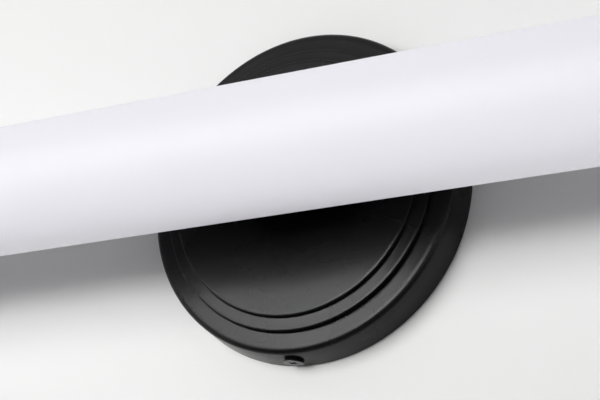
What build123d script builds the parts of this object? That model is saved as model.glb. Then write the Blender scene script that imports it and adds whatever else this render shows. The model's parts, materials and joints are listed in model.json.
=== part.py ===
# Bar vanity light: a frosted tube on a swivelling stem, in front of a round stepped canopy.
# Each piece is drawn with x to the right, y up and z out from the wall, and is turned when it is
# written so that the front faces -Y and +Z is up. Lengths are in millimetres, angles in degrees.
import os
from math import asin, cos, degrees, radians, sin, sqrt, tan

from build123d import *

os.makedirs("parts", exist_ok=True)

# Canopy: a stamped sheet that rises to the centre in two steps
canopy_diameter = 120.0
canopy_sheet = 1.2
rim_height = 12.5
rim_round = 1.5
side_draft = 1.4
outer_ring_width = 8.6
middle_ring_width = 4.7
outer_step = 2.5
inner_step = 2.0
step_lean = 0.3
step_round = 0.4

# Tube and its place in front of the wall
tube_diameter = 45.0
tube_wall = 2.0
tube_axis_height = 52.0
overall_length = 600.0

# Screws: thread diameters, lengths, the countersunk side screw and the proportions of a pan head
side_screw_thread = 4.0
side_screw_length = 10.0
side_screw_height = 5.1
side_head_width = 7.4
side_head_land = 0.15
side_head_stand = 0.4
side_recess_depth = 0.9
ground_screw_thread = 4.0
ground_screw_length = 3.4
saddle_screw_thread = 4.0
saddle_screw_length = 11.0
board_screw_thread = 2.5
board_screw_length = 3.4
end_screw_thread = 3.0
end_screw_length = 16.0
head_width_per_thread = 1.875
head_height_per_thread = 0.62
recess_width_per_thread = 0.22
thread_clearance = 0.05
through_clearance = 0.3
head_seat_gap = 0.05

# Straps that hold the canopy to the wall box
levelling_angle = 3.8
strap_width = 14.0
strap_sheet = 1.5
strap_bend = 0.8
ear_margin = 4.0
ear_clearance = 0.3
tongue_width = 8.0
tongue_height = 5.6
tongue_clearance = 0.2
tongue_end_gap = 0.1
box_strap_end_gap = 5.0
box_strap_corner = 3.0
box_slot_width = 4.8
box_slot_inner_end = 31.0
box_slot_margin = 5.0
eyelet_bore = 10.0
eyelet_wall = 1.4
eyelet_overhang = 1.8
eyelet_sheet = 0.6
eyelet_flare = 0.8

# Ground lug on the canopy strap
ground_offset = 24.0
lug_sheet = 0.8
lug_margin = 1.9
lug_barrel_diameter = 3.2
lug_barrel_start = 5.0
lug_barrel_length = 6.0

# Swivel
swivel_limit = 160.0
stop_slack = 0.7
nipple_diameter = 10.0
nipple_bore = 6.0
nipple_flat = 0.6
nipple_tail = 1.2
nipple_chamfer = 0.4
swivel_clearance = 0.08
washer_gap = 0.05
inner_washer_diameter = 22.0
friction_washer_sheet = 0.8
stop_washer_diameter = 22.0
stop_washer_sheet = 1.2
stop_stud_diameter = 3.0
stop_stud_gap = 0.4
stop_stud_length = 3.0
spring_washer_diameter = 16.4
spring_washer_sheet = 1.0
spring_washer_split = 1.5
lock_nut_across = 17.0
lock_nut_height = 4.0
bush_wall = 0.95
bush_flange_overhang = 1.8
bush_flange_sheet = 0.8
bush_length = 2.5
sleeve_diameter = 18.0
sleeve_round = 0.6

# Saddle under the tube
saddle_length = 40.0
saddle_width = 22.0
saddle_back = 3.5
saddle_wrap = 2.0
saddle_corner = 6.0
saddle_screw_spacing = 26.0
saddle_pocket = 2.0
saddle_clearance = 0.05

# Carrier, plate nut and LED boards in the tube
carrier_clearance = 0.3
carrier_land = 3.2
carrier_end_gap = 0.2
channel_height = 5.2
channel_width = 20.0
web_sheet = 1.8
port_wall = 1.1
lead_window = 6.4
plate_nut_length = 44.0
plate_nut_height = 4.0
plate_nut_clearance = 0.2
board_width = 24.0
board_sheet = 1.2
board_centre_gap = 12.0
board_end_gap = 8.0
board_screw_inset = 24.0
board_screw_edge = 3.2
board_screw_count = 3
chip_length = 3.5
chip_width = 2.8
chip_height = 0.7
chip_pitch = 12.0
chip_inset = 18.0
connector_length = 8.0
connector_width = 6.0
connector_height = 3.2
connector_inset = 2.0
link_length = 22.0
link_width = 5.0
link_height = 2.4
link_edge = 1.0

# End caps
cap_thickness = 5.0
cap_round = 1.0
cap_pocket = 2.2
gasket_sheet = 1.0
spigot_length = 8.0
spigot_wall = 2.0
spigot_clearance = 0.2
spigot_relief = 1.5

# Driver and terminal block inside the canopy
pad_sheet = 1.0
swivel_side_gap = 2.1
driver_height = 36.0
driver_edge_gap = 0.7
driver_rear_gap = 0.8
driver_wall = 1.2
driver_corner = 2.0
lid_sheet = 1.2
lid_lip = 1.5
lid_lip_wall = 0.8
lid_clearance = 0.1
driver_rib = 0.4
driver_rib_width = 2.0
driver_board_sheet = 1.2
driver_board_gap = 0.3
coil_size = (10.0, 11.0, 5.0)
coil_place = (5.0, -8.0)
capacitor_diameter = 6.0
capacitor_length = 11.0
capacitor_place = (5.5, 7.5)
chip_block_size = (5.0, 4.0, 1.5)
chip_block_place = (14.0, -3.0)
pole_count = 3
terminal_length = 18.0
terminal_edge_gap = 4.0
terminal_height = 10.0
hump_height = 3.0
hump_gap = 1.6
hump_inset = 1.0
insert_diameter = 5.0
insert_bore = 3.0
insert_inset = 1.0
insert_rise = 5.5
insert_clearance = 0.1
terminal_screw_diameter = 2.9
terminal_screw_length = 3.6
terminal_screw_spacing = 9.0
terminal_well = 3.8
screw_slot_width = 0.5
screw_slot_depth = 0.8

# Leads
lead_diameter = 2.0
lead_clearance = 0.1
lead_split = 9.5

# Sizes that follow from those above
canopy_radius = canopy_diameter / 2
middle_height = rim_height + outer_step
canopy_height = middle_height + inner_step
canopy_inner = canopy_height - canopy_sheet
rim_radius = canopy_radius - side_draft
outer_step_radius = canopy_radius - outer_ring_width
inner_step_radius = outer_step_radius - middle_ring_width
pocket_radius = inner_step_radius - canopy_sheet
nipple_radius = nipple_diameter / 2
tube_radius = tube_diameter / 2
tube_bore_radius = tube_radius - tube_wall
tube_back = tube_axis_height - tube_radius
tube_half = overall_length / 2 - cap_thickness - gasket_sheet
tongue_top = tongue_height + strap_sheet

stack_top = canopy_inner - washer_gap
stop_washer_top = stack_top - friction_washer_sheet
spring_washer_top = stop_washer_top - stop_washer_sheet
lock_nut_top = spring_washer_top - spring_washer_sheet
lock_nut_low = lock_nut_top - lock_nut_height
nipple_low = lock_nut_low - nipple_tail
outer_washer_low = canopy_height + washer_gap
sleeve_low = outer_washer_low + friction_washer_sheet
saddle_low = tube_back - saddle_back
saddle_high = tube_back + saddle_wrap

carrier_radius = tube_bore_radius - carrier_clearance
carrier_half = tube_half + gasket_sheet - carrier_end_gap
channel_low = tube_axis_height - carrier_radius + carrier_land
channel_high = channel_low + channel_height
web_front = channel_high + web_sheet
board_front = web_front + board_sheet
plate_nut_high = channel_low + plate_nut_height
nipple_high = plate_nut_high + nipple_chamfer
port_radius = end_screw_thread / 2 - thread_clearance
port_y = channel_width / 2 + port_wall + port_radius
port_z = web_front - port_wall - port_radius
board_near = board_centre_gap / 2
board_far = carrier_half - board_end_gap
board_length = board_far - board_near

stop_radius = stop_washer_diameter / 2 + stop_stud_gap + stop_stud_diameter / 2
stop_reach = stop_radius + stop_stud_diameter / 2
side_space = stop_reach + swivel_side_gap
driver_low = 2 * strap_sheet + driver_rear_gap
driver_high = canopy_inner - pad_sheet
driver_right = -side_space
driver_left = -sqrt((pocket_radius - driver_edge_gap) ** 2 - (driver_height / 2) ** 2)
terminal_left = side_space
terminal_right = sqrt((pocket_radius - terminal_edge_gap) ** 2 - (terminal_length / 2) ** 2)
pole_pitch = (terminal_right - terminal_left) / pole_count
hump_width = pole_pitch - hump_gap
terminal_low = driver_high - terminal_height
insert_height = terminal_low + insert_rise
pole_places = [terminal_left + (index + 0.5) * pole_pitch for index in range(pole_count)]


# Shapes that several pieces share
def block(x_span, y_span, z_span):
    spans = (x_span, y_span, z_span)
    middle = [(low + high) / 2 for low, high in spans]
    return Pos(*middle) * Box(*[high - low for low, high in spans])


def rod(radius, low, high, x=0.0, y=0.0):
    return Pos(x, y, (low + high) / 2) * Cylinder(radius, high - low)


def ring(outer, inner, low, high):
    return rod(outer, low, high) - rod(inner, low, high)


def turned(points, rounds):
    outline = FilletPolyline(*points, radius=rounds, close=True)
    return revolve(Plane.XZ * make_face(outline), Axis.Z)


def along_tube(shape):
    return Pos(0, 0, tube_axis_height) * Rot(0, 90, 0) * shape


def with_strap(shape):
    return Rot(0, 0, -levelling_angle) * shape


def both_ends(shape):
    return Compound([shape, mirror(shape, about=Plane.YZ)])


def head_radius(thread):
    return thread * head_width_per_thread / 2


def head_height(thread):
    return thread * head_height_per_thread


def cross_recess(thread, head, depth):
    width = thread * recess_width_per_thread
    return Box(head * 1.1, width, 2 * depth) + Box(width, head * 1.1, 2 * depth)


# Screw that points down from its seat at z = 0
def pan_screw(thread, length):
    head = head_radius(thread)
    height = head_height(thread)
    shank = thread / 2 - thread_clearance
    tip = thread / 8
    points = [(0, -length), (shank - tip, -length), (shank, tip - length), (shank, 0),
              (head, 0), (head, height), (0, height)]
    screw = turned(points, [0, 0, 0, 0, 0, height * 0.75, 0])
    return screw - Pos(0, 0, height) * cross_recess(thread, head, height / 2)


# The head's flat face is at zero, and the length is taken from it
def countersunk_screw(thread, length, head, land, depth):
    shank = thread / 2 - thread_clearance
    tip = thread / 8
    points = [(0, -length), (shank - tip, -length), (shank, tip - length), (shank, shank - head - land),
              (head, -land), (head, 0), (0, 0)]
    return turned(points, [0] * len(points)) - cross_recess(thread, head, depth)


def countersunk_hole(thread, length, head, land):
    hole = thread / 2 + through_clearance
    mouth = head + head_seat_gap
    points = [(0, -length), (hole, -length), (hole, hole - mouth - land), (mouth, -land), (mouth, length), (0, length)]
    return turned(points, [0] * len(points))


def lead(points, rounds):
    path = FilletPolyline(*points, radius=rounds)
    section = Plane(origin=path @ 0, z_dir=path % 0) * Circle(lead_diameter / 2)
    return sweep(section, path=path)


# The outer face of the canopy leans in from the wall to the rim
def canopy_side_radius(height):
    return canopy_radius - side_draft * height / rim_height


# The side screw's face, which stands a little off the canopy on the side towards the wall
def at_side_screw(shape):
    face = canopy_side_radius(side_screw_height - side_head_width / 2) + side_head_stand
    return Pos(0, -face, side_screw_height) * Rot(90, 0, 0) * shape


# Canopy
def make_canopy():
    hole = nipple_radius + swivel_clearance
    inset = canopy_sheet
    middle_inner = middle_height - inset
    rim_inner = rim_height - inset
    points = [
        (hole, canopy_height), (inner_step_radius, canopy_height),
        (inner_step_radius + step_lean, middle_height), (outer_step_radius, middle_height),
        (outer_step_radius + step_lean, rim_height), (rim_radius, rim_height),
        (canopy_radius, 0), (canopy_radius - inset, 0), (rim_radius - inset, rim_inner),
        (outer_step_radius + step_lean - inset, rim_inner), (outer_step_radius - inset, middle_inner),
        (inner_step_radius + step_lean - inset, middle_inner), (inner_step_radius - inset, canopy_inner),
        (hole, canopy_inner),
    ]
    rounds = [0, step_round, 0, step_round, 0, rim_round, 0, 0, rim_round / 3, 0, 0, 0, 0, 0]
    canopy = turned(points, rounds)
    side_head = side_head_width / 2
    screw_hole = at_side_screw(countersunk_hole(side_screw_thread, side_screw_length, side_head, side_head_land))
    half = tongue_width / 2 + tongue_clearance
    tongue_slot = block((-half, half), (rim_radius - 2 * inset, canopy_diameter),
                        (tongue_height - tongue_clearance, tongue_top + tongue_clearance))
    return canopy - with_strap(screw_hole) - with_strap(tongue_slot)


def make_side_screw():
    head = side_head_width / 2
    screw = countersunk_screw(side_screw_thread, side_screw_length, head, side_head_land, side_recess_depth)
    return with_strap(at_side_screw(screw))


# Straps. The canopy hangs on the tongue at the top of its strap and is screwed to the ear below.
def make_canopy_strap():
    ear_top = side_screw_height + ear_margin
    inner_radius = canopy_side_radius(ear_top) - canopy_sheet
    reach = sqrt(inner_radius ** 2 - (strap_width / 2) ** 2) - ear_clearance
    inside = reach - strap_sheet
    low = strap_sheet
    high = 2 * strap_sheet
    bend = strap_bend + strap_sheet
    half = tongue_width / 2
    tip = sqrt(canopy_side_radius(tongue_top) ** 2 - half ** 2) - tongue_end_gap
    points = [(-reach, ear_top), (-reach, low), (reach, low), (reach, tongue_height), (tip, tongue_height),
              (tip, tongue_top), (inside, tongue_top), (inside, high), (-inside, high), (-inside, ear_top)]
    rounds = [0, bend, bend, strap_bend, 0, 0, bend, strap_bend, strap_bend, 0]
    outline = FilletPolyline(*points, radius=rounds, close=True)
    strap = extrude(Plane.YZ * make_face(outline), strap_width / 2, both=True)
    for spans in ((-strap_width, -half), (half, strap_width)):
        strap -= block(spans, (reach, canopy_diameter), (high, canopy_height))
    strap -= rod(eyelet_bore / 2 + eyelet_wall + thread_clearance, 0, ear_top)
    strap -= rod(ground_screw_thread / 2, 0, ear_top, y=ground_offset)
    tapped = Rot(90, 0, 0) * Cylinder(side_screw_thread / 2, 4 * strap_sheet)
    return with_strap(strap - Pos(0, -reach, side_screw_height) * tapped)


def make_box_strap():
    reach = sqrt((canopy_radius - canopy_sheet) ** 2 - (strap_width / 2) ** 2) - box_strap_end_gap
    slot_outer_end = reach - box_slot_margin
    slot_length = slot_outer_end - box_slot_inner_end
    slot_centre = (slot_outer_end + box_slot_inner_end) / 2
    outline = RectangleRounded(2 * reach, strap_width, box_strap_corner)
    for side in (-1, 1):
        outline -= Pos(side * slot_centre, 0) * SlotOverall(slot_length, box_slot_width)
    strap = extrude(outline, strap_sheet)
    hole = eyelet_bore / 2 + eyelet_wall + thread_clearance
    points = [(0, 0), (hole + eyelet_flare, 0), (hole, eyelet_flare), (hole, strap_sheet), (0, strap_sheet)]
    return strap - turned(points, 0)


def make_strap_eyelet():
    bore = eyelet_bore / 2
    body = bore + eyelet_wall
    front = 2 * strap_sheet
    points = [(bore, 0), (body + eyelet_flare, 0), (body, eyelet_flare), (body, front),
              (body + eyelet_overhang, front), (body + eyelet_overhang, front + eyelet_sheet),
              (bore, front + eyelet_sheet)]
    return turned(points, 0)


# Ground lug, its screw and its lead
def make_ground_lug():
    low = 2 * strap_sheet
    eye = ground_screw_thread / 2 + through_clearance
    barrel_end = lug_barrel_start + lug_barrel_length
    barrel_radius = lug_barrel_diameter / 2
    lug = rod(eye + lug_margin, low, low + lug_sheet)
    lug += block((0, lug_barrel_start + 1), (-barrel_radius, barrel_radius), (low, low + lug_sheet))
    barrel = Pos((lug_barrel_start + barrel_end) / 2, 0, low + barrel_radius) * Rot(0, 90, 0)
    lug += barrel * Cylinder(barrel_radius, lug_barrel_length)
    lug -= rod(eye, low, low + lug_sheet)
    lug -= barrel * Cylinder(lead_diameter / 2 + lead_clearance, 2 * lug_barrel_length)
    return Pos(*ground_place()) * lug


def ground_place():
    turn = radians(levelling_angle)
    return (ground_offset * sin(turn), ground_offset * cos(turn), 0)


def make_ground_screw():
    x, y, _ = ground_place()
    return Pos(x, y, 2 * strap_sheet + lug_sheet) * pan_screw(ground_screw_thread, ground_screw_length)


def make_ground_lead():
    x, y, _ = ground_place()
    barrel_height = 2 * strap_sheet + lug_barrel_diameter / 2
    barrel_mouth = x + lug_barrel_start + lug_barrel_length
    pole = pole_places[-1]
    points = [(pole, 1, insert_height), (pole, y, insert_height), (barrel_mouth + 9, y, insert_height),
              (barrel_mouth + 4, y, barrel_height), (barrel_mouth - 4.5, y, barrel_height)]
    return lead(points, [6, 4, 4])


# Terminal block
def make_terminal_block():
    half = terminal_length / 2
    base_low = terminal_low + hump_height
    body = block((terminal_left, terminal_right), (-half, half), (base_low, driver_high))
    bore = Rot(90, 0, 0) * Cylinder(insert_diameter / 2 + insert_clearance, 2 * terminal_length)
    for x in pole_places:
        body += block((x - hump_width / 2, x + hump_width / 2), (hump_inset - half, half - hump_inset),
                      (terminal_low, base_low))
    for x in pole_places:
        body -= Pos(x, 0, insert_height) * bore
        for y in (-terminal_screw_spacing / 2, terminal_screw_spacing / 2):
            body -= rod(terminal_well / 2, terminal_low, insert_height, x, y)
    return body


def make_terminal_inserts():
    length = terminal_length - 2 * insert_inset
    insert = Rot(90, 0, 0) * (Cylinder(insert_diameter / 2, length) - Cylinder(insert_bore / 2, length))
    for y in (-terminal_screw_spacing / 2, terminal_screw_spacing / 2):
        insert -= rod(terminal_screw_diameter / 2 + thread_clearance, -insert_diameter, 0, y=y)
    return Compound([Pos(x, 0, insert_height) * insert for x in pole_places])


def make_terminal_screws():
    high = insert_height - lead_diameter / 2 - lead_clearance
    low = high - terminal_screw_length
    slot = Box(terminal_screw_diameter * 2, screw_slot_width, 2 * screw_slot_depth)
    screw = rod(terminal_screw_diameter / 2, low, high) - Pos(0, 0, low) * slot
    rows = (-terminal_screw_spacing / 2, terminal_screw_spacing / 2)
    return Compound([Pos(x, y, 0) * screw for x in pole_places for y in rows])


def make_terminal_pad():
    half = terminal_length / 2
    return block((terminal_left, terminal_right), (-half, half), (driver_high, canopy_inner))


# Driver
def driver_shell(low, high):
    middle = (driver_right + driver_left) / 2
    outline = RectangleRounded(driver_right - driver_left, driver_height, driver_corner)
    return Pos(middle, 0, low) * extrude(outline, high - low)


def driver_space(inset, low, high):
    half = driver_height / 2 - inset
    return block((driver_left + inset, driver_right - inset), (-half, half), (low, high))


def input_lead_rows():
    clear = lock_nut_across / sqrt(3) + lead_diameter
    return (clear - lead_diameter / 8, clear + lead_diameter * 1.4)


output_lead_height = driver_low + lid_sheet + lid_lip + lead_diameter / 2 + 0.7


def make_driver_case():
    floor = driver_high - driver_wall
    case = driver_shell(driver_low + lid_sheet, driver_high) - driver_space(driver_wall, driver_low, floor)
    for y in (-driver_height / 4, driver_height / 4):
        case += block((driver_left + driver_wall, driver_right - driver_wall),
                      (y - driver_rib_width / 2, y + driver_rib_width / 2), (floor - driver_rib, floor))
    hole = Rot(0, 90, 0) * Cylinder(lead_diameter / 2 + lead_clearance, 4 * driver_wall)
    for y in input_lead_rows():
        case -= Pos(driver_right, y, insert_height) * hole
    return case - Pos(driver_right, 0, output_lead_height) * hole


def make_driver_lid():
    seam = driver_low + lid_sheet
    inset = driver_wall + lid_clearance
    lip = driver_space(inset, seam, seam + lid_lip)
    lip -= driver_space(inset + lid_lip_wall, seam, seam + lid_lip)
    return driver_shell(driver_low, seam) + lip


def driver_board_low():
    return driver_high - driver_wall - driver_rib - driver_board_sheet


def make_driver_board():
    low = driver_board_low()
    return driver_space(driver_wall + driver_board_gap, low, low + driver_board_sheet)


def make_driver_components():
    high = driver_board_low()
    left = driver_left + driver_wall
    coil = block((left + coil_place[0] - coil_size[0] / 2, left + coil_place[0] + coil_size[0] / 2),
                 (coil_place[1] - coil_size[1] / 2, coil_place[1] + coil_size[1] / 2),
                 (high - coil_size[2], high))
    chip = block((left + chip_block_place[0] - chip_block_size[0] / 2,
                  left + chip_block_place[0] + chip_block_size[0] / 2),
                 (chip_block_place[1] - chip_block_size[1] / 2, chip_block_place[1] + chip_block_size[1] / 2),
                 (high - chip_block_size[2], high))
    can = Rot(90, 0, 0) * Cylinder(capacitor_diameter / 2, capacitor_length)
    capacitor = Pos(left + capacitor_place[0], capacitor_place[1], high - capacitor_diameter / 2) * can
    return Compound([coil, chip, capacitor])


def make_driver_pad():
    return driver_shell(driver_high, canopy_inner)


# Leads inside the canopy
def make_input_lead(pole, row, bend):
    x = pole_places[pole]
    end = driver_right - 2 * driver_wall
    return lead([(x, 1, insert_height), (x, row, insert_height), (end, row, insert_height)], [bend])


def make_driver_lead():
    start = driver_right - 2 * driver_wall
    crossing = 2 * strap_sheet + eyelet_sheet + lead_diameter / 2 + 0.4
    points = [(start, 0, output_lead_height), (-14.5, 0, output_lead_height), (-10.8, 0, crossing),
              (0, 0, crossing), (0, 0, lead_split)]
    return lead(points, [2, 2, 3])


# Swivel pieces
def make_stop_stud():
    return rod(stop_stud_diameter / 2, canopy_inner - stop_stud_length, canopy_inner, y=-stop_radius)


def nipple_flat_cut(gap, low, high):
    side = nipple_diameter
    return block((-side, side), (nipple_radius - nipple_flat + gap, side), (low, high))


def make_stem_nipple():
    bore = nipple_bore / 2
    slope = nipple_chamfer
    points = [(bore, nipple_low), (nipple_radius - slope, nipple_low), (nipple_radius, nipple_low + slope),
              (nipple_radius, nipple_high - slope), (nipple_radius - slope, nipple_high), (bore, nipple_high)]
    return turned(points, 0) - nipple_flat_cut(0, nipple_low, stop_washer_top)


def make_lock_nut():
    blank = extrude(RegularPolygon(lock_nut_across / 2, 6, major_radius=False), lock_nut_height)
    return Pos(0, 0, lock_nut_low) * blank - rod(nipple_radius + thread_clearance, lock_nut_low, lock_nut_top)


def make_spring_washer():
    washer = ring(spring_washer_diameter / 2, nipple_radius + thread_clearance, lock_nut_top, spring_washer_top)
    half = spring_washer_split / 2
    return washer - block((-half, half), (0, spring_washer_diameter), (lock_nut_top, spring_washer_top))


# The tab meets the stud just past the swivel's limit
def make_stop_washer():
    low = spring_washer_top
    stud_angle = degrees(asin(stop_stud_diameter / 2 / stop_radius))
    tab_angle = radians(180 - swivel_limit - stop_slack - stud_angle)
    spread = stop_reach * tan(tab_angle)
    wedge = make_face(Polyline((0, 0), (spread, stop_reach), (-spread, stop_reach), close=True))
    outline = Circle(stop_washer_diameter / 2) + (Circle(stop_reach) & wedge)
    key = rod(nipple_radius + thread_clearance, low, stop_washer_top)
    key -= nipple_flat_cut(thread_clearance, low, stop_washer_top)
    return Pos(0, 0, low) * extrude(outline, stop_washer_sheet) - key


def make_friction_washer(diameter, low):
    return ring(diameter / 2, nipple_radius + thread_clearance, low, low + friction_washer_sheet)


def make_nipple_bush():
    outer = nipple_bore / 2 - thread_clearance
    bore = outer - bush_wall
    flange = outer + bush_flange_overhang
    low = nipple_low - bush_flange_sheet
    points = [(bore, low), (flange, low), (flange, nipple_low), (outer, nipple_low),
              (outer, nipple_low + bush_length), (bore, nipple_low + bush_length)]
    return turned(points, 0)


def make_stem_sleeve():
    outer = sleeve_diameter / 2
    bore = nipple_radius + through_clearance
    points = [(bore, sleeve_low), (outer, sleeve_low), (outer, saddle_low), (bore, saddle_low)]
    return turned(points, [0, sleeve_round, 0, 0])


# Saddle and its screws
def saddle_screw_places():
    return (-saddle_screw_spacing / 2, saddle_screw_spacing / 2)


def make_saddle():
    outline = RectangleRounded(saddle_length, saddle_width, saddle_corner)
    saddle = Pos(0, 0, saddle_low) * extrude(outline, saddle_high - saddle_low)
    saddle -= along_tube(Cylinder(tube_radius + saddle_clearance, 2 * saddle_length))
    saddle -= rod(nipple_radius + thread_clearance, saddle_low, saddle_high)
    for x in saddle_screw_places():
        saddle -= rod(saddle_screw_thread / 2 + through_clearance, saddle_low, saddle_high, x)
        saddle -= rod(head_radius(saddle_screw_thread) + through_clearance, saddle_low,
                      saddle_low + saddle_pocket, x)
    return saddle


def make_saddle_screws():
    screw = Rot(180, 0, 0) * pan_screw(saddle_screw_thread, saddle_screw_length)
    seat = saddle_low + saddle_pocket
    return Compound([Pos(x, 0, seat) * screw for x in saddle_screw_places()])


def cut_stem_holes(shape, low, high):
    shape -= rod(nipple_radius + through_clearance, low, high)
    for x in saddle_screw_places():
        shape -= rod(saddle_screw_thread / 2 + through_clearance, low, high, x)
    return shape


# Tube, carrier and plate nut
def make_diffuser_tube():
    tube = along_tube(Cylinder(tube_radius, 2 * tube_half) - Cylinder(tube_bore_radius, 2 * tube_half))
    return cut_stem_holes(tube, tube_back - tube_wall, tube_axis_height)


def make_led_carrier():
    below = Pos(0, web_front - tube_radius) * Rectangle(2 * tube_diameter, tube_diameter)
    profile = Pos(0, tube_axis_height) * Circle(carrier_radius) & below
    profile -= Pos(0, (channel_low + channel_high) / 2) * Rectangle(channel_width, channel_height)
    for side in (-1, 1):
        profile -= Pos(side * port_y, port_z) * Circle(port_radius + thread_clearance)
    carrier = extrude(Plane.YZ * profile, carrier_half, both=True)
    carrier = cut_stem_holes(carrier, tube_back, channel_low)
    carrier -= rod(lead_window / 2, channel_high, web_front)
    for x, y in board_screw_places():
        carrier -= rod(board_screw_thread / 2, channel_high, web_front, x, y)
    return carrier


def make_plate_nut():
    width = channel_width - 2 * plate_nut_clearance
    half = plate_nut_length / 2
    nut = block((-half, half), (-width / 2, width / 2), (channel_low, plate_nut_high))
    nut -= rod(nipple_radius + thread_clearance, channel_low, plate_nut_high)
    for x in saddle_screw_places():
        nut -= rod(saddle_screw_thread / 2, channel_low, plate_nut_high, x)
    return nut


# LED boards
def board_screw_places():
    y = board_width / 2 - board_screw_edge
    step = (board_length - 2 * board_screw_inset) / (board_screw_count - 1)
    offsets = [board_near + board_screw_inset + step * index for index in range(board_screw_count)]
    return [(side * x, y) for side in (-1, 1) for x in offsets]


def make_led_board(side):
    spans = sorted((side * board_near, side * board_far))
    board = block(spans, (-board_width / 2, board_width / 2), (web_front, board_front))
    for x, y in board_screw_places():
        if x * side > 0:
            board -= rod(board_screw_thread / 2 + through_clearance, web_front, board_front, x, y)
    return board


def make_led_chips():
    chip = Pos(0, 0, board_front + chip_height / 2) * Box(chip_length, chip_width, chip_height)
    count = int((board_length - 2 * chip_inset) // chip_pitch) + 1
    offsets = [board_near + chip_inset + chip_pitch * index for index in range(count)]
    return Compound([Pos(side * x, 0, 0) * chip for side in (-1, 1) for x in offsets])


def make_board_screws():
    screw = pan_screw(board_screw_thread, board_screw_length)
    return Compound([Pos(x, y, board_front) * screw for x, y in board_screw_places()])


def make_board_connector():
    left = board_near + connector_inset
    return block((left, left + connector_length), (-connector_width / 2, connector_width / 2),
                 (board_front, board_front + connector_height))


def make_board_link():
    low = link_edge - board_width / 2
    return block((-link_length / 2, link_length / 2), (low, low + link_width),
                 (board_front, board_front + link_height))


def make_tube_lead():
    height = board_front + connector_height / 2
    points = [(0, 0, lead_split), (0, 0, height), (board_near + connector_inset, 0, height)]
    return lead(points, [3])


# End caps
def make_end_cap():
    seat = tube_half + gasket_sheet
    end = overall_length / 2
    spigot_outer = tube_bore_radius - spigot_clearance
    points = [(0, seat), (tube_radius, seat), (tube_radius, end), (0, end)]
    cap = along_tube(turned(points, [0, 0, cap_round, 0]))
    spigot = along_tube(ring(spigot_outer, spigot_outer - spigot_wall, seat - spigot_length, seat))
    relief_high = board_front + spigot_relief
    spigot -= block((0, overall_length), (-tube_diameter, tube_diameter), (0, relief_high))
    cap += spigot
    hole = Cylinder(end_screw_thread / 2 + through_clearance, 4 * cap_thickness)
    hole += Cylinder(head_radius(end_screw_thread) + through_clearance, 2 * cap_pocket)
    for y in (-port_y, port_y):
        cap -= Pos(end, y, port_z) * Rot(0, 90, 0) * hole
    return cap


def make_end_gaskets():
    gasket = along_tube(ring(tube_radius, tube_bore_radius, tube_half, tube_half + gasket_sheet))
    return both_ends(gasket)


def make_end_screws():
    screw = Rot(0, 90, 0) * pan_screw(end_screw_thread, end_screw_length)
    seat = overall_length / 2 - cap_pocket
    pair = Compound([Pos(seat, y, port_z) * screw for y in (-port_y, port_y)])
    return Compound([*pair.solids(), *mirror(pair, about=Plane.YZ).solids()])


live_row, neutral_row = input_lead_rows()
pieces = {
    "canopy": make_canopy(),
    "side_screw": make_side_screw(),
    "canopy_strap": make_canopy_strap(),
    "box_strap": make_box_strap(),
    "strap_eyelet": make_strap_eyelet(),
    "ground_lug": make_ground_lug(),
    "ground_screw": make_ground_screw(),
    "ground_lead": make_ground_lead(),
    "terminal_block": make_terminal_block(),
    "terminal_inserts": make_terminal_inserts(),
    "terminal_screws": make_terminal_screws(),
    "terminal_pad": make_terminal_pad(),
    "driver_case": make_driver_case(),
    "driver_lid": make_driver_lid(),
    "driver_board": make_driver_board(),
    "driver_components": make_driver_components(),
    "driver_pad": make_driver_pad(),
    "live_lead": make_input_lead(0, live_row, 2.5),
    "neutral_lead": make_input_lead(1, neutral_row, 3.5),
    "driver_lead": make_driver_lead(),
    "stop_stud": make_stop_stud(),
    "stem_nipple": make_stem_nipple(),
    "lock_nut": make_lock_nut(),
    "spring_washer": make_spring_washer(),
    "stop_washer": make_stop_washer(),
    "inner_friction_washer": make_friction_washer(inner_washer_diameter, stop_washer_top),
    "outer_friction_washer": make_friction_washer(sleeve_diameter, outer_washer_low),
    "nipple_bush": make_nipple_bush(),
    "stem_sleeve": make_stem_sleeve(),
    "saddle": make_saddle(),
    "saddle_screws": make_saddle_screws(),
    "diffuser_tube": make_diffuser_tube(),
    "led_carrier": make_led_carrier(),
    "plate_nut": make_plate_nut(),
    "led_board_left": make_led_board(-1),
    "led_board_right": make_led_board(1),
    "led_chips": make_led_chips(),
    "board_screws": make_board_screws(),
    "board_connector": make_board_connector(),
    "board_link": make_board_link(),
    "tube_lead": make_tube_lead(),
    "end_cap_left": mirror(make_end_cap(), about=Plane.YZ),
    "end_cap_right": make_end_cap(),
    "end_gaskets": make_end_gaskets(),
    "end_screws": make_end_screws(),
}

for name, shape in pieces.items():
    export_step(Plane.XZ * shape, f"parts/{name}.step")
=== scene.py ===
import json
import math

import bmesh
import bpy
from mathutils import Euler, Matrix, Vector

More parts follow.
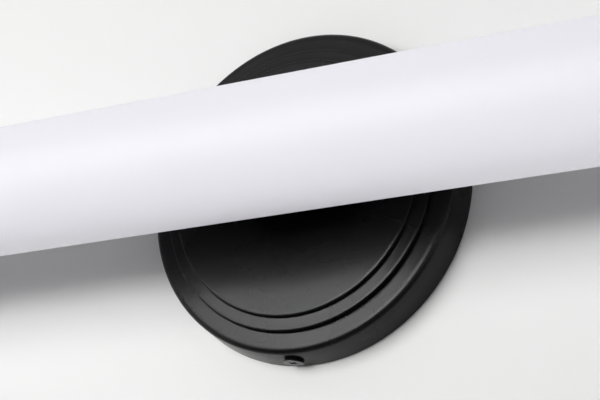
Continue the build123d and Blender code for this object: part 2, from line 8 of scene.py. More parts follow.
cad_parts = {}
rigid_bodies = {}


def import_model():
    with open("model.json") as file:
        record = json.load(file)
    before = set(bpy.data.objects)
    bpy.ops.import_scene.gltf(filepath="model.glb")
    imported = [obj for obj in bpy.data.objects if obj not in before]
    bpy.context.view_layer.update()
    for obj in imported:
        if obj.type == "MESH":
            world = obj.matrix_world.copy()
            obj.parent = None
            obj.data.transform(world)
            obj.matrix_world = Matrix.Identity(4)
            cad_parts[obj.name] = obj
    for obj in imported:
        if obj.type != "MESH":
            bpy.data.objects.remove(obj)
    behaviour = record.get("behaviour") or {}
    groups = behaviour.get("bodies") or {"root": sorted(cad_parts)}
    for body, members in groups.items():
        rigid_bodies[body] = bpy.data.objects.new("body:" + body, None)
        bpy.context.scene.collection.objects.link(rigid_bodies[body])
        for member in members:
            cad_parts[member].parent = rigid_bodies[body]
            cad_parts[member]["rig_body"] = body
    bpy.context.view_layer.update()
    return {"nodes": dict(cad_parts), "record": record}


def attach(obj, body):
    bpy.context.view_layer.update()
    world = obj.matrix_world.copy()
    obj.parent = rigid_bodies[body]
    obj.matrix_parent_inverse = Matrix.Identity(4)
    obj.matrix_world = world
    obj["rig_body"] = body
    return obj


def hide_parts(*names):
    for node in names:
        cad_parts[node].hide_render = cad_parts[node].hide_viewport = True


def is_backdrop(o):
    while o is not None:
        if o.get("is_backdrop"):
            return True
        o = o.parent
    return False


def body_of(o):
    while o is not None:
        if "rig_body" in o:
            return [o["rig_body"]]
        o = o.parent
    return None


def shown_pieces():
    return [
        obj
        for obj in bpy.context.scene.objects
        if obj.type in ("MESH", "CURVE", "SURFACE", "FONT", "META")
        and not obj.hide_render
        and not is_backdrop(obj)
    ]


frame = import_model()
nodes = frame["nodes"]
mm = 0.001


# sRGB hex to the linear colour that the shaders want
def linearColor(hexCode):
    channels = [int(hexCode[i:i + 2], 16) / 255 for i in (1, 3, 5)]
    return [c / 12.92 if c <= 0.04045 else ((c + 0.055) / 1.055) ** 2.4 for c in channels] + [1.0]


# one node with its settings; a socket given as a value is linked
def addNode(tree, kind, sockets=None, **settings):
    node = tree.nodes.new(kind)
    for name, value in settings.items():
        setattr(node, name, value)
    for name, value in (sockets or {}).items():
        if isinstance(value, bpy.types.NodeSocket):
            tree.links.new(value, node.inputs[name])
        else:
            node.inputs[name].default_value = value
    return node


def newMaterial(name):
    material = bpy.data.materials.new(name)
    material.use_nodes = True
    tree = material.node_tree
    tree.nodes.clear()
    place = addNode(tree, "ShaderNodeTexCoord").outputs["Object"]
    return material, tree, place


def showShader(tree, shader):
    addNode(tree, "ShaderNodeOutputMaterial", {"Surface": shader.outputs[0]})


# texture scale that gives features about this many millimetres across
def featureSize(millimetres):
    return 1000.0 / millimetres


# satin polyester powder on steel: near black, faint orange peel, broad soft gloss;
# the IOR is below polyester's 1.5, to stay as dark as the photograph where nothing bright is mirrored
def satinPowderCoat():
    material, tree, place = newMaterial("satinBlackPowderCoat")
    cloud = addNode(tree, "ShaderNodeTexNoise", {"Vector": place, "Scale": featureSize(18), "Detail": 3.0})
    peel = addNode(tree, "ShaderNodeTexNoise", {"Vector": place, "Scale": featureSize(1.1), "Detail": 2.0})
    dark, pale = linearColor("#040405"), linearColor("#080809")
    tone = addNode(tree, "ShaderNodeMix", {0: cloud.outputs[0], 6: dark, 7: pale}, data_type="RGBA")
    gloss = addNode(tree, "ShaderNodeMapRange", {"Value": cloud.outputs[0], "From Min": 0.3, "From Max": 0.7,
                                                 "To Min": 0.25, "To Max": 0.29})
    bump = addNode(tree, "ShaderNodeBump", {
        "Height": peel.outputs[0], "Strength": 0.06, "Distance": 0.04 * mm})
    shader = addNode(tree, "ShaderNodeBsdfPrincipled", {
        "Base Color": tone.outputs[2], "Roughness": gloss.outputs[0], "IOR": 1.28, "Normal": bump.outputs[0]})
    showShader(tree, shader)
    return material


# extruded opal acrylic with a frosted skin: milky white, cool, light spreads inside the wall;
# the frost is drawn at 0.8 mm, coarser than the real one, so that it shows
def opalAcrylic():
    material, tree, place = newMaterial("frostedOpalAcrylic")
    frost = addNode(tree, "ShaderNodeTexNoise", {"Vector": place, "Scale": featureSize(0.8), "Detail": 2.0})
    haze = addNode(tree, "ShaderNodeTexNoise", {"Vector": place, "Scale": featureSize(60), "Detail": 2.0})
    dark, pale = linearColor("#e1e0e7"), linearColor("#e5e4eb")
    tone = addNode(tree, "ShaderNodeMix", {0: haze.outputs[0], 6: dark, 7: pale}, data_type="RGBA")
    bump = addNode(tree, "ShaderNodeBump", {
        "Height": frost.outputs[0], "Strength": 0.05, "Distance": 0.02 * mm})
    shader = addNode(tree, "ShaderNodeBsdfPrincipled", {
        "Base Color": tone.outputs[2], "Roughness": 0.55, "IOR": 1.49, "Normal": bump.outputs[0],
        "Subsurface Weight": 0.2, "Subsurface Radius": (3.0 * mm, 3.0 * mm, 3.2 * mm),
        "Subsurface Scale": 1.0})
    showShader(tree, shader)
    return material


# zinc-plated steel strip: pale bluish grey with a fine rolled grain;
# the crystals are drawn at 2.4 mm, coarser than real plate has, so that they show
def zincPlate():
    material, tree, place = newMaterial("zincPlatedSteel")
    rolled = addNode(tree, "ShaderNodeMapping", {"Vector": place, "Scale": (1.0, 1.0, 0.05)}).outputs[0]
    grain = addNode(tree, "ShaderNodeTexNoise", {"Vector": rolled, "Scale": featureSize(0.5), "Detail": 3.0})
    crystals = addNode(tree, "ShaderNodeTexVoronoi", {"Vector": place, "Scale": featureSize(2.4)})
    dark, pale = linearColor("#b4b8bd"), linearColor("#c8cbce")
    tone = addNode(tree, "ShaderNodeMix", {0: crystals.outputs["Color"], 6: dark, 7: pale}, data_type="RGBA")
    gloss = addNode(tree, "ShaderNodeMapRange", {"Value": grain.outputs[0], "To Min": 0.24, "To Max": 0.44})
    bump = addNode(tree, "ShaderNodeBump", {
        "Height": grain.outputs[0], "Strength": 0.1, "Distance": 0.03 * mm})
    shader = addNode(tree, "ShaderNodeBsdfPrincipled", {
        "Base Color": tone.outputs[2], "Metallic": 1.0, "Roughness": gloss.outputs[0],
        "Normal": bump.outputs[0]})
    showShader(tree, shader)
    return material


# black oxide on steel: blue black, a little glossier than the powder coat
def blackOxide():
    material, tree, place = newMaterial("blackOxideSteel")
    mottle = addNode(tree, "ShaderNodeTexNoise", {"Vector": place, "Scale": featureSize(1.2), "Detail": 4.0})
    dark, pale = linearColor("#0d0e10"), linearColor("#1b1c1f")
    tone = addNode(tree, "ShaderNodeMix", {0: mottle.outputs[0], 6: dark, 7: pale}, data_type="RGBA")
    gloss = addNode(tree, "ShaderNodeMapRange", {"Value": mottle.outputs[0], "To Min": 0.28, "To Max": 0.42})
    shader = addNode(tree, "ShaderNodeBsdfPrincipled", {
        "Base Color": tone.outputs[2], "Roughness": gloss.outputs[0], "IOR": 1.6})
    showShader(tree, shader)
    return material


# plain stamped or turned brass: warm yellow, a fine uneven shine
def plainBrass():
    material, tree, place = newMaterial("turnedBrass")
    grain = addNode(tree, "ShaderNodeTexNoise", {"Vector": place, "Scale": featureSize(0.7), "Detail": 3.0})
    dark, pale = linearColor("#b9924a"), linearColor("#d3ae66")
    tone = addNode(tree, "ShaderNodeMix", {0: grain.outputs[0], 6: dark, 7: pale}, data_type="RGBA")
    gloss = addNode(tree, "ShaderNodeMapRange", {"Value": grain.outputs[0], "To Min": 0.25, "To Max": 0.4})
    shader = addNode(tree, "ShaderNodeBsdfPrincipled", {
        "Base Color": tone.outputs[2], "Metallic": 1.0, "Roughness": gloss.outputs[0]})
    showShader(tree, shader)
    return material


# extruded aluminium, mill finish: pale grey with die lines along the length
def millAluminium():
    material, tree, place = newMaterial("extrudedAluminium")
    drawn = addNode(tree, "ShaderNodeMapping", {"Vector": place, "Scale": (0.01, 1.0, 1.0)}).outputs[0]
    lines = addNode(tree, "ShaderNodeTexNoise", {"Vector": drawn, "Scale": featureSize(0.6), "Detail": 3.0})
    dark, pale = linearColor("#c2c4c6"), linearColor("#d6d8da")
    tone = addNode(tree, "ShaderNodeMix", {0: lines.outputs[0], 6: dark, 7: pale}, data_type="RGBA")
    gloss = addNode(tree, "ShaderNodeMapRange", {"Value": lines.outputs[0], "To Min": 0.3, "To Max": 0.5})
    shader = addNode(tree, "ShaderNodeBsdfPrincipled", {
        "Base Color": tone.outputs[2], "Metallic": 1.0, "Roughness": gloss.outputs[0]})
    showShader(tree, shader)
    return material


# moulded, extruded or foamed plastics: one recipe, with the skin's grain size in millimetres and its gloss
def mouldedPlastic(name, darkCode, paleCode, grainSize, roughness, bumpStrength):
    material, tree, place = newMaterial(name)
    grain = featureSize(grainSize)
    skin = addNode(tree, "ShaderNodeTexNoise", {"Vector": place, "Scale": grain, "Detail": 3.0})
    cloud = addNode(tree, "ShaderNodeTexNoise", {"Vector": place, "Scale": featureSize(14), "Detail": 2.0})
    dark, pale = linearColor(darkCode), linearColor(paleCode)
    tone = addNode(tree, "ShaderNodeMix", {0: cloud.outputs[0], 6: dark, 7: pale}, data_type="RGBA")
    gloss = addNode(tree, "ShaderNodeMapRange", {"Value": skin.outputs[0], "To Min": roughness - 0.06,
                                                 "To Max": roughness + 0.06})
    bump = addNode(tree, "ShaderNodeBump", {
        "Height": skin.outputs[0], "Strength": bumpStrength, "Distance": 0.06 * mm})
    shader = addNode(tree, "ShaderNodeBsdfPrincipled", {
        "Base Color": tone.outputs[2], "Roughness": gloss.outputs[0], "IOR": 1.5, "Normal": bump.outputs[0]})
    showShader(tree, shader)
    return material


# the record's material slots and the finish of each
finishes = {
    "black_powder_coat": satinPowderCoat(),
    "black_oxide_steel": blackOxide(),
    "zinc_steel": zincPlate(),
    "brass": plainBrass(),
    "opal_acrylic": opalAcrylic(),
    "extruded_aluminium": millAluminium(),
    "white_board_mask": mouldedPlastic("whiteSolderMask", "#e4e5e2", "#eeeeec", 0.5, 0.35, 0.05),
    "led_phosphor": mouldedPlastic("yellowPhosphorSilicone", "#dfb73c", "#edcb58", 0.3, 0.3, 0.05),
    "white_nylon": mouldedPlastic("mouldedWhiteNylon", "#dedbd0", "#e9e7de", 0.6, 0.45, 0.1),
    "white_polycarbonate": mouldedPlastic("mouldedWhitePolycarbonate", "#e2e2df", "#ebebe9", 0.5, 0.42, 0.15),
    "green_board_mask": mouldedPlastic("greenSolderMask", "#0f4a26", "#155c30", 0.8, 0.32, 0.05),
    "black_component_plastic": mouldedPlastic("blackMouldedEpoxy", "#17171a", "#222226", 0.4, 0.42, 0.1),
    "black_foam": mouldedPlastic("closedCellBlackFoam", "#161616", "#242424", 0.5, 0.85, 0.6),
    "black_silicone": mouldedPlastic("mouldedBlackSilicone", "#101011", "#1a1a1b", 0.6, 0.6, 0.1),
    "black_nylon": mouldedPlastic("mouldedBlackNylon", "#131313", "#1c1c1c", 0.6, 0.5, 0.1),
    "black_lead": mouldedPlastic("extrudedBlackVinyl", "#131314", "#1d1d1f", 0.9, 0.38, 0.06),
    "white_lead": mouldedPlastic("extrudedWhiteVinyl", "#dcdbd7", "#e8e7e3", 0.9, 0.4, 0.06),
    "green_lead": mouldedPlastic("extrudedGreenVinyl", "#156b2c", "#1c7f37", 0.9, 0.4, 0.06),
    "red_lead": mouldedPlastic("extrudedRedVinyl", "#8e1a1a", "#a82323", 0.9, 0.4, 0.06),
}
slotOf = {part["node"]: part["material_slot"] for part in frame["record"]["subparts"]}
bodyOf = {node: body for body, names in frame["record"]["behaviour"]["bodies"].items() for node in names}
for node, slot in slotOf.items():
    nodes[node].data.materials.clear()
    nodes[node].data.materials.append(finishes[slot])
print("finishes on", len(nodes), "CAD nodes")

# how finely round shapes are drawn, and how close two points are one, in metres
rounds = {"canopy": 240, "tube": 160, "small": 48, "corner": 6, "weld": 1e-7}


# rounds the corner at one vertex of a profile
def roundCorner(bm, vert, radius):
    first, second = [edge.other_vert(vert).co - vert.co for edge in vert.link_edges]
    turn = math.pi - first.angle(second)
    bmesh.ops.bevel(bm, geom=[vert], offset=radius * math.tan(turn / 2), offset_type="OFFSET",
                    segments=rounds["corner"], profile=0.5, affect="VERTICES", material=-1)


# profile points are (radius, height, corner round) in millimetres; the profile turns about local z
def spinProfile(points, steps, closed=True):
    bm = bmesh.new()
    verts = [bm.verts.new((radius * mm, 0, height * mm)) for radius, height, _ in points]
    for first, second in zip(verts, verts[1:]):
        bm.edges.new((first, second))
    if closed:
        bm.edges.new((verts[-1], verts[0]))
    for vert, (_, _, corner) in zip(verts, points):
        if corner:
            roundCorner(bm, vert, corner * mm)
    bmesh.ops.spin(bm, geom=bm.verts[:] + bm.edges[:], cent=(0, 0, 0), axis=(0, 0, 1), angle=2 * math.pi,
                   steps=steps, use_merge=True)
    bmesh.ops.remove_doubles(bm, verts=bm.verts, dist=rounds["weld"])
    bmesh.ops.recalc_face_normals(bm, faces=bm.faces)
    return bm


def meshObject(name, bm, matrix=None):
    if matrix is not None:
        bmesh.ops.transform(bm, matrix=matrix, verts=bm.verts)
    mesh = bpy.data.meshes.new(name)
    bm.to_mesh(mesh)
    bm.free()
    piece = bpy.data.objects.new(name, mesh)
    bpy.context.scene.collection.objects.link(piece)
    return piece


# a block to cut with, its sides in millimetres
def blockCutter(sides):
    bm = bmesh.new()
    bmesh.ops.create_cube(bm, size=1.0)
    bmesh.ops.scale(bm, vec=[side * mm for side in sides], verts=bm.verts)
    return bm


def holeCutter(radius, depth, matrix):
    bm = bmesh.new()
    bmesh.ops.create_cone(bm, cap_ends=True, segments=rounds["small"], radius1=radius * mm,
                          radius2=radius * mm, depth=depth * mm)
    return meshObject("holeCutter", bm, matrix)


# cuts the cutters out of a piece and throws them away
def carve(piece, cutters):
    for cutter in cutters:
        cut = piece.modifiers.new("cut", "BOOLEAN")
        cut.operation = "DIFFERENCE"
        cut.solver = "EXACT"
        cut.object = cutter
    bpy.context.view_layer.update()
    shaped = bpy.data.meshes.new_from_object(piece.evaluated_get(bpy.context.evaluated_depsgraph_get()))
    piece.modifiers.clear()
    piece.data = shaped
    for cutter in cutters:
        bpy.data.objects.remove(cutter)


# the piece takes the place, body and finish of a CAD node; edges sharper than the angle stay crisp
def finishPiece(piece, node, sharpAngle=35):
    mesh = piece.data
    mesh.polygons.foreach_set("use_smooth", [True] * len(mesh.polygons))
    mesh.set_sharp_from_angle(angle=math.radians(sharpAngle))
    mesh.materials.clear()
    mesh.materials.append(finishes[slotOf[node]])
    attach(piece, bodyOf[node])
    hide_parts(node)
    print("piece", piece.name, len(mesh.polygons), "faces")


outFromWall = Matrix.Rotation(math.radians(90), 4, "X")      # local z to the front

# canopy: stamped dish in two steps, sizes in millimetres; a roll is how far back from the edge the face
# turns down, by how much, and the round where it starts
canopy = {"radius": 60.0, "sheet": 1.2, "rimHeight": 12.5, "draft": 1.4, "outerRing": 8.6, "middleRing": 4.7,
          "outerStep": 2.5, "innerStep": 2.0, "lean": 0.3, "rimRound": 1.9, "stepRound": 0.4,
          "footRound": 0.15, "rimRoll": (2.2, 0.468, 6.0), "stepRoll": (0.75, 0.165, 3.0), "wallRound": 0.15,
          "insideRim": 0.5, "insideRound": 0.2, "hole": 5.08, "holeRound": 0.1, "strapTurn": 3.8,
          "tongueSlot": (8.4, 1.9, 6.0), "tongueHeight": 6.35}

# countersunk cross-recess screw that holds the canopy from below, sizes in millimetres and roll in degrees
sideScrew = {"thread": 4.0, "length": 10.0, "headWidth": 7.4, "land": 0.15, "headHeight": 0.0,
             "headRound": 0.06, "pitch": 0.7, "recess": 1.15, "recessSpan": 4.4, "recessDepth": 1.2,
             "height": 5.1, "face": 60.24, "roll": 40.0, "hole": 2.3, "mouth": 3.725, "drillOver": 3.0}


# where the screw's face lies: below the canopy, with local z out of it
def sideScrewPlace():
    s = sideScrew
    around = Matrix.Rotation(math.radians(canopy["strapTurn"] + 180), 4, "Y")
    roll = Matrix.Rotation(math.radians(s["roll"]), 4, "Z")
    return around @ Matrix.Translation((0, -s["height"] * mm, s["face"] * mm)) @ roll


# hole through the rim that widens to take the screw's head
def countersink(s):
    over, tip = s["drillOver"], -s["length"]
    foot = s["hole"] - s["mouth"] - s["land"]
    points = [(0, over, 0), (s["mouth"], over, 0), (s["mouth"], -s["land"], 0), (s["hole"], foot, 0),
              (s["hole"], tip, 0), (0, tip, 0)]
    return spinProfile(points, rounds["small"], closed=False)


def buildCanopy():
    c = canopy
    s = c["sheet"]
    low = c["rimHeight"]
    middle = low + c["outerStep"]
    top = middle + c["innerStep"]
    rim = c["radius"] - c["draft"]
    outer = c["radius"] - c["outerRing"]
    inner = outer - c["middleRing"]
    lean, soft, foot, inside = c["lean"], c["stepRound"], c["footRound"], c["insideRound"]
    stepBack, stepDrop, stepRoll = c["stepRoll"]
    rimBack, rimDrop, rimRoll = c["rimRoll"]
    points = [
        (c["hole"], top, c["holeRound"]), (inner - stepBack, top, stepRoll), (inner, top - stepDrop, soft),
        (inner + lean, middle, foot), (outer - stepBack, middle, stepRoll), (outer, middle - stepDrop, soft),
        (outer + lean, low, foot), (rim - rimBack, low, rimRoll), (rim, low - rimDrop, c["rimRound"]),
        (c["radius"], 0, c["wallRound"]), (c["radius"] - s, 0, c["wallRound"]),
        (rim - s, low - s, c["insideRim"]), (outer + lean - s, low - s, inside),
        (outer - s, middle - s, inside), (inner + lean - s, middle - s, inside),
        (inner - s, top - s, inside), (c["hole"], top - s, c["holeRound"])]
    shell = meshObject("canopyShell", spinProfile(points, rounds["canopy"]), outFromWall)
    drill = meshObject("screwDrill", countersink(sideScrew), sideScrewPlace())
    turn = Matrix.Rotation(math.radians(c["strapTurn"]), 4, "Y")
    above = turn @ Matrix.Translation((0, -c["tongueHeight"] * mm, c["radius"] * mm))
    punch = meshObject("tonguePunch", blockCutter(c["tongueSlot"]), above)
    carve(shell, [drill, punch])
    finishPiece(shell, "canopy")


buildCanopy()

# thread ridges: millimetres inside the nominal radius, plain lengths at both ends, shares of the pitch
ridges = {"root": 0.35, "crest": 0.05, "runOut": 0.4, "plain": 1.1, "rootAt": 0.3, "crestAt": 0.8, "tip": 0.4}
crossWings = (0.45, 0.7, 1.0)        # how much of a recess's span, width and depth is left at its bottom


# thread as a row of ridges, from the top of the shank down to the tip
def threadProfile(s, top):
    r = ridges
    pitch = s["pitch"]
    core, crest = s["thread"] / 2 - r["root"], s["thread"] / 2 - r["crest"]
    points = [(crest, top, 0)]
    for turn in range(int((s["length"] + top - r["plain"]) / pitch)):
        height = top - r["runOut"] - turn * pitch
        points += [(core, height - r["rootAt"] * pitch, 0), (crest, height - r["crestAt"] * pitch, 0)]
    return points + [(core - r["tip"], -s["length"], 0), (0, -s["length"], 0)]


def countersunkProfile(s):
    head, shank = s["headWidth"] / 2, s["thread"] / 2 - ridges["crest"]
    face = [(0, 0, 0), (head, 0, s["headRound"]), (head, -s["land"], 0)]
    return face + threadProfile(s, shank - head - s["land"])


def panProfile(s):
    head, top = s["headWidth"] / 2, s["headHeight"]
    return [(0, top, 0), (head, top, s["headRound"]), (head, 0, s["seatRound"])] + threadProfile(s, 0)


# one bar of the cross, which narrows towards its bottom, and its place in the head
def recessCutter(s, turn):
    bm = blockCutter((s["recessSpan"], s["recess"], 2 * s["recessDepth"]))
    bmesh.ops.scale(bm, vec=crossWings, verts=[vert for vert in bm.verts if vert.co.z < 0])
    return Matrix.Translation((0, 0, s["headHeight"] * mm)) @ Matrix.Rotation(math.radians(turn), 4, "Z"), bm


# adds one shape to another at a place
def addCopy(target, shape, matrix):
    bmesh.ops.transform(shape, matrix=matrix, verts=shape.verts)
    loose = bpy.data.meshes.new("looseShape")
    shape.to_mesh(loose)
    shape.free()
    target.from_mesh(loose)
    bpy.data.meshes.remove(loose)


def buildScrews(name, s, profile, places, node):
    screws = bmesh.new()
    cutters = []
    for place in places:
        addCopy(screws, spinProfile(profile, rounds["small"], closed=False), place)
        for turn in (0, 90):
            inHead, cutter = recessCutter(s, turn)
            cutters.append(meshObject("recessCutter", cutter, place @ inHead))
    piece = meshObject(name, screws)
    carve(piece, cutters)
    finishPiece(piece, node)


buildScrews("sideScrew", sideScrew, countersunkProfile(sideScrew), [sideScrewPlace()], "side_screw")

# diffuser: opal tube with holes for the stem and saddle screws at its back, (place, radius); millimetres
tube = {"radius": 22.5, "wall": 2.0, "half": 294.0, "axisHeight": 52.0, "lip": 0.4, "saddleHalf": 19.0,
        "holes": [(0, 5.3), (-13.0, 2.3), (13.0, 2.3)], "drill": 12.0}
alongTube = Matrix.Translation((0, -tube["axisHeight"] * mm, 0)) @ Matrix.Rotation(math.radians(90), 4, "Y")


def buildTube():
    t = tube
    radius, bore = t["radius"], t["radius"] - t["wall"]
    half, lip = t["half"], t["lip"]
    under = t["saddleHalf"]        # short faces here, so that the holes leave the rest of the tube alone
    points = [(radius, -half, lip), (radius, -under, 0), (radius, under, 0), (radius, half, lip),
              (bore, half, lip), (bore, under, 0), (bore, -under, 0), (bore, -half, lip)]
    piece = meshObject("diffuserTube", spinProfile(points, rounds["tube"]), alongTube)
    back = t["axisHeight"] - radius
    carve(piece, [holeCutter(size, t["drill"], Matrix.Translation((x * mm, -back * mm, 0)) @ outFromWall)
                  for x, size in t["holes"]])
    finishPiece(piece, "diffuser_tube")


buildTube()

# moulded cap on each end of the tube, with a thin gasket under it and two pan-head screws in pockets;
# millimetres, and the turn in degrees
endCap = {"end": 300.0, "thickness": 5.0, "round": 1.0, "seatRound": 0.2, "spigotRadius": 20.3,
          "spigotWall": 2.0, "spigotLength": 8.0, "spigotRound": 0.3, "reliefDepth": 44.7, "reliefGap": 0.05,
          "reliefOver": 1.0, "pocketRadius": 3.11, "pocket": 2.2, "screwHole": 1.8, "drill": 14.0,
          "holeTurn": 2.0, "screwHeight": 12.55, "screwDepth": 39.45, "gasket": 1.0, "gasketInset": 0.12,
          "gasketRound": 0.25}
endScrew = {"thread": 3.0, "length": 16.0, "headWidth": 5.625, "headHeight": 1.86, "headRound": 1.3,
            "seatRound": 0.12, "pitch": 0.5, "recess": 0.7, "recessSpan": 3.2, "recessDepth": 1.1}


# turns what is drawn with local z outwards to the left (-1) or right (1) end
def atEnd(side, x, depth, height=0.0):
    outwards = Matrix.Rotation(math.radians(90 * side), 4, "Y")
    return Matrix.Translation((side * x * mm, -depth * mm, height * mm)) @ outwards


def screwPlaces(side, x):
    e = endCap
    return [atEnd(side, x, e["screwDepth"], height) for height in (-e["screwHeight"], e["screwHeight"])]


def buildEndCap(name, side, node):
    e = endCap
    seat = -e["thickness"]
    foot = seat - e["spigotLength"]
    spigot = e["spigotRadius"]
    bore = spigot - e["spigotWall"]
    points = [(0, 0, 0), (tube["radius"], 0, e["round"]), (tube["radius"], seat, e["seatRound"]),
              (spigot, seat, 0), (spigot, foot, e["spigotRound"]), (bore, foot, e["spigotRound"]),
              (bore, seat, 0), (0, seat, 0)]
    place = atEnd(side, e["end"], tube["axisHeight"])
    cap = meshObject(name, spinProfile(points, rounds["tube"], closed=False), place)
    # a small turn keeps the corners of the cuts off the cap's own edges
    turn = Matrix.Rotation(math.radians(e["holeTurn"]), 4, "Z")
    cutters = []
    for screwPlace in screwPlaces(side, e["end"]):
        cutters += [holeCutter(e["pocketRadius"], 2 * e["pocket"], screwPlace @ turn),
                    holeCutter(e["screwHole"], e["drill"], screwPlace @ turn)]
    # the spigot is cut away at the back to clear the carrier, from just short of the seat
    reach = e["spigotLength"] - e["reliefGap"] + e["reliefOver"]
    relief = blockCutter((reach, e["reliefDepth"], 3 * tube["radius"]))
    middle = e["end"] - e["thickness"] - e["reliefGap"] - reach / 2
    reliefPlace = Matrix.Translation((side * middle * mm, -e["reliefDepth"] / 2 * mm, 0))
    cutters.append(meshObject("reliefCutter", relief, reliefPlace))
    carve(cap, cutters)
    finishPiece(cap, node)


def buildGaskets():
    e = endCap
    outer, inner = tube["radius"] - e["gasketInset"], tube["radius"] - tube["wall"]
    points = [(outer, 0, e["gasketRound"]), (outer, e["gasket"], e["gasketRound"]),
              (inner, e["gasket"], 0), (inner, 0, 0)]
    both = bmesh.new()
    for side in (-1, 1):
        addCopy(both, spinProfile(points, rounds["tube"]), atEnd(side, tube["half"], tube["axisHeight"]))
    finishPiece(meshObject("endGaskets", both), "end_gaskets")


buildEndCap("endCapLeft", -1, "end_cap_left")
buildEndCap("endCapRight", 1, "end_cap_right")
buildGaskets()
screwSeat = endCap["end"] - endCap["pocket"]
buildScrews("endScrews", endScrew, panProfile(endScrew),
            screwPlaces(-1, screwSeat) + screwPlaces(1, screwSeat), "end_screws")

# stamped and moulded pieces whose sharp edges are broken: CAD node and width in millimetres
brokenEdges = {
    "boxStrap": ("box_strap", 0.25),
    "canopyStrap": ("canopy_strap", 0.25),
    "groundLug": ("ground_lug", 0.08),
    "terminalBlock": ("terminal_block", 0.3),
    "driverCase": ("driver_case", 0.4),
    "driverLid": ("driver_lid", 0.3),
    "lockNut": ("lock_nut", 0.3),
    "saddlePad": ("saddle", 0.5),
}
# metres between points that are one, and the angles in degrees of one flat face, a sharp edge and a crisp one
edgeLimits = {"weld": 2e-6, "flat": 0.6, "sharp": 40, "crisp": 18}


def breakEdges(name, node, width):
    limit = edgeLimits
    bm = bmesh.new()
    bm.from_mesh(nodes[node].data)
    bmesh.ops.remove_doubles(bm, verts=bm.verts, dist=limit["weld"])
    bmesh.ops.dissolve_limit(bm, angle_limit=math.radians(limit["flat"]), verts=bm.verts, edges=bm.edges)
    corners = [edge for edge in bm.edges if edge.calc_face_angle() > math.radians(limit["sharp"])]
    bmesh.ops.bevel(bm, geom=corners, offset=width * mm, offset_type="OFFSET", segments=2, profile=0.5,
                    affect="EDGES", material=-1)
    finishPiece(meshObject(name, bm), node, sharpAngle=limit["crisp"])


for pieceName, (node, width) in brokenEdges.items():
    breakEdges(pieceName, node, width)

# stage: pale wall behind the canopy and pale floor below, each clear from behind; sizes in metres.
# A fade is where the paint starts to turn into the backdrop and where it is all backdrop
stage = {"wallColor": "#f3f3f2", "floorColor": "#ecebe9", "mottleColor": "#f7f7f6",
         "backdropColor": "#f4f4f5", "fill": 0.15, "size": 9.0, "wallGap": 0.0004, "floorHeight": -1.6,
         "wallFade": (0.5, 1.3), "floorFade": (3.0, 4.5)}


# 1 for the rays that should see a pale background: from the camera, through glass and off gloss
def backgroundRays(tree):
    rays = addNode(tree, "ShaderNodeLightPath").outputs
    clear = addNode(tree, "ShaderNodeMath", {0: rays["Is Camera Ray"], 1: rays["Is Transmission Ray"]},
                    operation="MAXIMUM")
    seen = addNode(tree, "ShaderNodeMath", {0: clear.outputs[0], 1: rays["Is Glossy Ray"]},
                   operation="MAXIMUM")
    return seen.outputs[0]


# paint that takes light and shadow near the fixture and fades to the backdrop away from it
def stageMaterial(name, hexCode, near, far):
    material, tree, place = newMaterial(name)
    side = addNode(tree, "ShaderNodeNewGeometry").outputs["Backfacing"]
    mottle = addNode(tree, "ShaderNodeTexNoise", {"Vector": place, "Scale": featureSize(90), "Detail": 4.0})
    base, patch = linearColor(hexCode), linearColor(stage["mottleColor"])
    tone = addNode(tree, "ShaderNodeMix", {0: mottle.outputs[0], 6: base, 7: patch}, data_type="RGBA")
    paint = addNode(tree, "ShaderNodeBsdfDiffuse", {"Color": tone.outputs[2]})
    color = linearColor(stage["backdropColor"])
    backdrop = addNode(tree, "ShaderNodeEmission", {"Color": color, "Strength": 1.0})
    away = addNode(tree, "ShaderNodeVectorMath", {0: place}, operation="LENGTH").outputs["Value"]
    fade = addNode(tree, "ShaderNodeMapRange", {"Value": away, "From Min": near, "From Max": far},
                   interpolation_type="SMOOTHSTEP")
    pale = addNode(tree, "ShaderNodeMath", {0: fade.outputs[0], 1: backgroundRays(tree)},
                   operation="MULTIPLY")
    front = addNode(tree, "ShaderNodeMixShader", {
        0: pale.outputs[0], 1: paint.outputs[0], 2: backdrop.outputs[0]})
    clear = addNode(tree, "ShaderNodeBsdfTransparent")
    shader = addNode(tree, "ShaderNodeMixShader", {0: side, 1: front.outputs[0], 2: clear.outputs[0]})
    showShader(tree, shader)
    return material


def stagePlane(name, matrix, material):
    bm = bmesh.new()
    bmesh.ops.create_grid(bm, x_segments=1, y_segments=1, size=stage["size"] / 2)
    plane = meshObject(name, bm, matrix)
    plane.data.materials.append(material)
    plane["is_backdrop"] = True


stagePlane("wall", Matrix.Translation((0, stage["wallGap"], 0)) @ outFromWall,
           stageMaterial("paintedPlaster", stage["wallColor"], *stage["wallFade"]))
stagePlane("floor", Matrix.Translation((0, 0, stage["floorHeight"])),
           stageMaterial("palePaintedFloor", stage["floorColor"], *stage["floorFade"]))

# round softboxes: azimuth and elevation in degrees as seen from the object, metres across, watts;
# some light only the pieces named, and two behind the wall shine through it into the canopy's hollow
softboxDistance = 1.3
wallPieces = [piece.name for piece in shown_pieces() if body_of(piece) == ["wall_side"]]
inHollow = [name for name in wallPieces if name not in ("canopyShell", "sideScrew")]
lamps = {
    "keyCore": {"azimuth": -10, "elevation": 0, "across": 0.28, "power": 3.3},
    "keyRight": {"azimuth": -13, "elevation": 6, "across": 0.85, "power": 5.0},
    "keyLeft": {"azimuth": -28, "elevation": 6, "across": 0.6, "power": 5.6},
    "tubeFromAbove": {"azimuth": 60, "elevation": 60, "across": 0.5, "power": 5.3, "only": ["diffuserTube"]},
    "tubeFromBelow": {"azimuth": 60, "elevation": -50, "across": 0.5, "power": 6.3, "only": ["diffuserTube"]},
    "behindStraps": {"azimuth": 160, "elevation": 25, "across": 0.8, "power": 13.0, "only": inHollow,
                     "through": True},
    "behindCanopy": {"azimuth": 180, "elevation": 30, "across": 0.2, "power": 13.0, "only": ["canopyShell"],
                     "through": True},
}


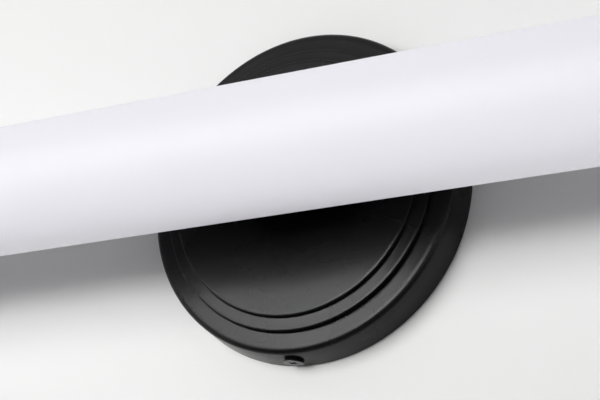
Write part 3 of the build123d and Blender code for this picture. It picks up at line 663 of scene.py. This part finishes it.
def namedPieces(name, pieceNames):
    group = bpy.data.collections.new(name)
    for pieceName in pieceNames:
        group.objects.link(bpy.data.objects[pieceName])
    return group


def addLamp(name, azimuth, elevation, across, power, only=(), through=False):
    a, e = math.radians(azimuth), math.radians(elevation)
    toward = Vector((math.sin(a) * math.cos(e), -math.cos(a) * math.cos(e), math.sin(e)))
    data = bpy.data.lights.new(name, "AREA")
    data.shape = "DISK"
    data.size = across
    data.energy = power
    # a lamp for some pieces only is counted too strong with this on
    data.cycles.use_multiple_importance_sampling = False
    lamp = bpy.data.objects.new(name, data)
    lamp.location = toward * softboxDistance
    lamp.rotation_euler = (-toward).to_track_quat("-Z", "Y").to_euler()
    lamp.visible_camera = False
    bpy.context.scene.collection.objects.link(lamp)
    if only:
        lamp.light_linking.receiver_collection = namedPieces(name + "Lights", only)
    if through:
        lamp.light_linking.blocker_collection = namedPieces(name + "Blockers", wallPieces)


for lampName, settings in lamps.items():
    addLamp(lampName, **settings)

world = bpy.data.worlds.new("paleStudio")
bpy.context.scene.world = world
world.use_nodes = True
sky = world.node_tree
sky.nodes.clear()
skyColor = linearColor(stage["backdropColor"])
fill = addNode(sky, "ShaderNodeBackground", {"Color": skyColor, "Strength": stage["fill"]})
backdrop = addNode(sky, "ShaderNodeBackground", {"Color": skyColor, "Strength": 1.0})
either = addNode(sky, "ShaderNodeMixShader", {
    0: backgroundRays(sky), 1: fill.outputs[0], 2: backdrop.outputs[0]})
addNode(sky, "ShaderNodeOutputWorld", {"Surface": either.outputs[0]})
print("stage with", len(lamps), "lamps")

# camera: fitted to the edges of the canopy and the tube in the photograph; metres, degrees, millimetres
view = {"place": (0.28262, -0.53395, -0.21928), "turn": (109.960, -1.673, 27.801), "lens": 109.25,
        "sensor": 36.0, "nearest": 0.01}
lens = bpy.data.cameras.new("photoView")
lens.sensor_width = view["sensor"]
lens.lens = view["lens"]
lens.clip_start = view["nearest"]
camera = bpy.data.objects.new("photoView", lens)
camera.location = view["place"]
camera.rotation_euler = Euler([math.radians(angle) for angle in view["turn"]], "XYZ")
bpy.context.scene.collection.objects.link(camera)
bpy.context.scene.camera = camera
bpy.context.scene.view_settings.view_transform = "Standard"
